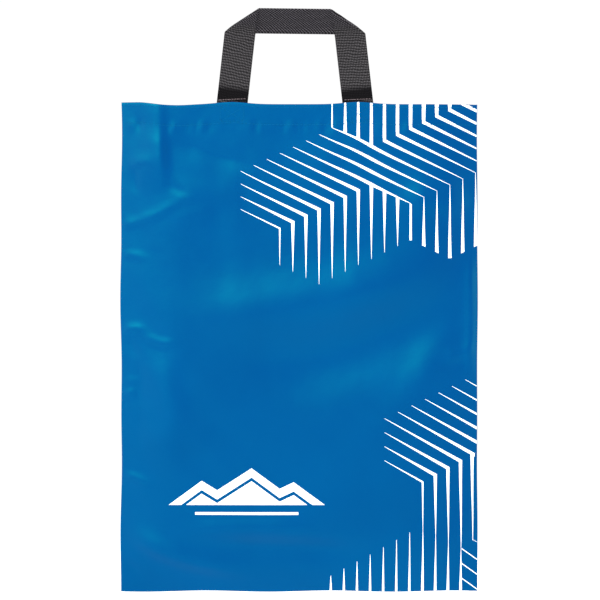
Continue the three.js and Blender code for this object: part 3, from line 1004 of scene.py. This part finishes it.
def stood_up(side, x, z, out):
    """A flat place on the handle as a point. Below the grip the handle stands upright; over twice
    GRIP_BEND it bends on a circle, and then it leans outwards by GRIP_TILT."""
    radius = 2 * GRIP_BEND / GRIP_TILT
    angle = np.clip((z + GRIP_BEND) / radius, 0, GRIP_TILT)
    past = np.maximum(z - GRIP_BEND, 0)
    below = np.minimum(z, -GRIP_BEND)
    high = below + radius * np.sin(angle) + past * math.cos(GRIP_TILT)
    outwards = radius * (1 - np.cos(angle)) + past * math.sin(GRIP_TILT)
    high = high - out * np.sin(angle)
    outwards = outwards + out * np.cos(angle)
    fall = 0.012  # how much the grip hangs down to the right, as a slope
    high = high - fall * x * smooth_step(z, MOUTH, 0)
    return np.stack([HANDLE_X + x, side * (HANDLE_Y + outwards), high], axis=-1)


def handle(name, side):
    """A handle as one length of webbing. Its section is a flat bar with round edges, carried along
    the strap."""
    half = STRAP_HALF
    s = np.linspace(-half, half, 2 * round(half / (1.2 * MM)) + 1)
    edge = WEBBING / 2
    flat_half = WEBBING_WIDTH / 2 - edge
    flat = np.linspace(-flat_half, flat_half, 26)
    turn = np.linspace(math.pi / 2, -math.pi / 2, 7)[1:-1]
    round_t, round_off = flat_half + edge * np.cos(turn), edge * np.sin(turn)
    face = np.full_like(flat, edge)
    t = np.concatenate([flat, round_t, flat[::-1], -round_t])
    off = np.concatenate([face, round_off, -face, -round_off])

    def surface(s, t):
        return stood_up(side, *folded_strap(s, t))

    along, across = np.meshgrid(s, t, indexing="ij")
    near = 0.02 * MM
    # The strap isn't stretched where the fold or the grip's middle lies between two samples.
    nudge = np.where(abs(along) < near, near, 0)
    ahead = surface(along + near + nudge, across) - surface(along - near + nudge, across)
    sideways = surface(along + nudge, across + near) - surface(along + nudge, across - near)
    normal = np.cross(ahead, sideways)
    normal /= np.linalg.norm(normal, axis=-1, keepdims=True)
    points = surface(along, across) + normal * off[None, :, None]
    rows, columns = points.shape[:2]
    faces = [grid_faces(rows, columns, close_columns=True)]
    for station, order in ((0, -1), (rows - 1, 1)):
        ring = station * columns + np.arange(columns)
        low, high = ring[: columns // 2], ring[columns // 2 :][::-1]
        cap = np.stack([low[:-1], low[1:], high[1:], high[:-1]], axis=-1)
        faces.append(cap[:, ::order])
    uv = np.stack([across, along], axis=-1)
    made = new_object(name, points.reshape(-1, 3), np.concatenate(faces), uv.reshape(-1, 2))
    recalculate_outwards(made)
    made.data.materials.append(WEBBING_MATERIAL)
    return hinge_at_mouth(made)


def leg_row(side, leg, face):
    """Stitches straight across a leg of the handle, a little above the mouth, on one face."""
    z = MOUTH + 3.6 * MM
    middle = leg * (HANDLE_SPREAD - LEG_WIDTH / 2 - (z - MOUTH) * math.tan(LEG_LEAN))
    share = np.linspace(-0.5, 0.5, 20)
    row_length, tilt = 0.88 * LEG_WIDTH, 0.9 * MM
    out = np.full_like(share, face * WEBBING / 2)
    points = stood_up(side, middle + share * row_length, z + share * tilt, out)
    up = np.broadcast_to([0.0, side * face, 0.0], points.shape)
    return stitches(points, up, length=2.2 * MM, gap=0.35 * MM, radius=0.24 * MM)


def hinge_at_mouth(piece):
    """A piece of a handle, with its transform baked into its mesh."""
    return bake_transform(piece)


# ---------- the bag ----------

NYLON = coated_nylon()
WEBBING_MATERIAL = polypropylene_webbing()
INK = screen_ink()
THREADS = {
    "blue_thread": spun_thread("blue_thread", "#004C78", "#00588A"),
    "dark_thread": spun_thread("leg_thread", "#453C3E", "#82777A"),
}

right_columns = half_columns()
front_left = opens(panel("front_panel_left_half", FRONT, -right_columns[::-1]))
front_right = opens(panel("front_panel_right_half", FRONT, right_columns))
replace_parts(front_left, "front_panel")
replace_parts(front_right, "front_panel")
even = np.linspace(-HALF_WIDTH, HALF_WIDTH, round(2 * HALF_WIDTH / STEP) + 1)
outside = past_edge(HALF_WIDTH, ALLOWANCE)
back = panel("back_panel_cloth", BACK, np.concatenate([-outside[::-1], even, outside]))
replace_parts(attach(back, "root"), "back_panel")

opens(ink("upper_stripes", upper_stripes()))
opens(ink("lower_stripes", lower_stripes()))
opens(ink("ridge_emblem", ridge_emblem()))

HALVES = (-1, "left"), (1, "right")
HEM_THREAD = 0.25 * MM  # the radius of the hem's thread
HEM_END = HALF_WIDTH - 1.5 * MM
BOX_TOP, BOX_FOOT, BOX_HALF = MOUTH - 3.5 * MM, MOUTH - 15.1 * MM, 9.5 * MM
RAW_X, RAW_Z = HALF_WIDTH + ALLOWANCE, BOTTOM - ALLOWANCE
for word, side, body in (("front", FRONT, "front"), ("back", BACK, "root")):
    strap = handle(f"{word}_handle_webbing", side)
    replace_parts(strap, f"{word}_handle", f"{word}_handle_left_end", f"{word}_handle_right_end")

    for hem_row, down in zip(("top", "lower"), HEM_ROWS):
        z = MOUTH - down
        if side == FRONT:
            for half, hand in HALVES:
                start, end = (half * 0.4 * MM, z), (half * HEM_END, z)
                sewn = row(side, start, end, radius=HEM_THREAD)
                made = thread_piece(f"front_hem_{hem_row}_stitches_{hand}_half", [sewn])
                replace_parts(opens(made), f"front_hem_{hem_row}_stitch")
        else:
            sewn = row(side, (-HEM_END, z), (HEM_END, z), radius=HEM_THREAD)
            made = thread_piece(f"back_hem_{hem_row}_stitches", [sewn])
            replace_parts(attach(made, "root"), f"back_hem_{hem_row}_stitch")

    for (leg, hand), middle in zip(HALVES, LEG_MIDDLES):
        left, right = middle - BOX_HALF, middle + BOX_HALF
        top_left, top_right = (left, BOX_TOP), (right, BOX_TOP)
        foot_left, foot_right = (left, BOX_FOOT), (right, BOX_FOOT)
        outline = [top_left, top_right, foot_right, foot_left, top_left]
        lines = [*zip(outline, outline[1:]), (top_left, foot_right), (foot_left, top_right)]
        box = [row(side, *line) for line in lines]
        made = thread_piece(f"{word}_{hand}_box_stitches", box)
        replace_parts(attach(made, body), f"{word}_{hand}_box_stitch")
        both_faces = [leg_row(side, leg, 1), leg_row(side, leg, -1)]
        made = thread_piece(f"{word}_{hand}_leg_stitches", both_faces, "dark_thread")
        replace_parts(hinge_at_mouth(made), f"{word}_{hand}_leg_stitch")

    for half, hand in HALVES:
        edge = overlock(side, (half * RAW_X, BOTTOM), (half * RAW_X, MOUTH), (-half, 0))
        made = thread_piece(f"{word}_{hand}_overlocking", [edge])
        made = opens(made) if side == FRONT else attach(made, "root")
        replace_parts(made, f"{word}_{hand}_overlock")
        foot = overlock(side, (0, RAW_Z), (half * (HALF_WIDTH - 3 * MM), RAW_Z), (0, 1))
        made = thread_piece(f"{word}_bottom_overlocking_{hand}_half", [foot])
        made = opens(made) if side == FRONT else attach(made, "root")
        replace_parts(made, f"{word}_bottom_overlock")

SEAM_IN = 1.3 * MM  # past the turn, on the allowances
seam_x = HALF_WIDTH + math.pi * FOLD + SEAM_IN
seam_z = BOTTOM - math.pi * FOLD - SEAM_IN
for word, start, end in (
    ("left", (-seam_x, BOTTOM), (-seam_x, MOUTH)),
    ("right", (seam_x, BOTTOM), (seam_x, MOUTH)),
    ("bottom", (-HALF_WIDTH, seam_z), (HALF_WIDTH, seam_z)),
):
    rows = [row(side, start, end, lift=-CLOTH - 0.1 * MM) for side in (FRONT, BACK)]
    made = thread_piece(f"{word}_seam_stitches", rows)
    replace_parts(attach(made, "root"), f"{word}_seam_stitch")

# ---------- stage ----------

bpy.ops.mesh.primitive_plane_add(size=14, location=(0, 0, BOTTOM - 0.28))
floor = bpy.context.object
floor.name = "floor"
floor.data.materials.append(studio_paper())


def area_light(name, place, target, size, power):
    """A square soft light that looks from a place at a target."""
    light = bpy.data.lights.new(name, "AREA")
    light.size = size
    light.energy = power
    made = bpy.data.objects.new(name, light)
    made.location = place
    made.rotation_euler = (Vector(target) - Vector(place)).to_track_quat("-Z", "Y").to_euler()
    bpy.context.scene.collection.objects.link(made)


middle = (0, 0, (MOUTH + BOTTOM) / 2)
area_light("key", (-1.25, -3.0, 1.5), middle, 1.2, 120)
area_light("side", (-2.9, -1.8, 0.2), middle, 1.0, 24)
area_light("fill", (2.9, -2.0, 0.2), middle, 1.2, 18)
area_light("behind", (1.25, 3.0, 1.5), middle, 1.2, 82)

world = bpy.data.worlds.new("studio")
bpy.context.scene.world = world
world.use_nodes = True
world.node_tree.nodes["Background"].inputs[0].default_value = (1, 1, 1, 1)
world.node_tree.nodes["Background"].inputs[1].default_value = 1.02

VIEW_WIDTH = 493.5 * MM  # what the picture is wide at the bag
camera_data = bpy.data.cameras.new("camera")
camera_data.lens = 150
distance = VIEW_WIDTH * camera_data.lens / camera_data.sensor_width
camera = bpy.data.objects.new("camera", camera_data)
camera.location = (0.6 * MM, -distance, MOUTH - 161 * MM)
camera.rotation_euler = (math.pi / 2, 0, 0)
bpy.context.scene.collection.objects.link(camera)
bpy.context.scene.camera = camera
bpy.context.scene.view_settings.view_transform = "Standard"
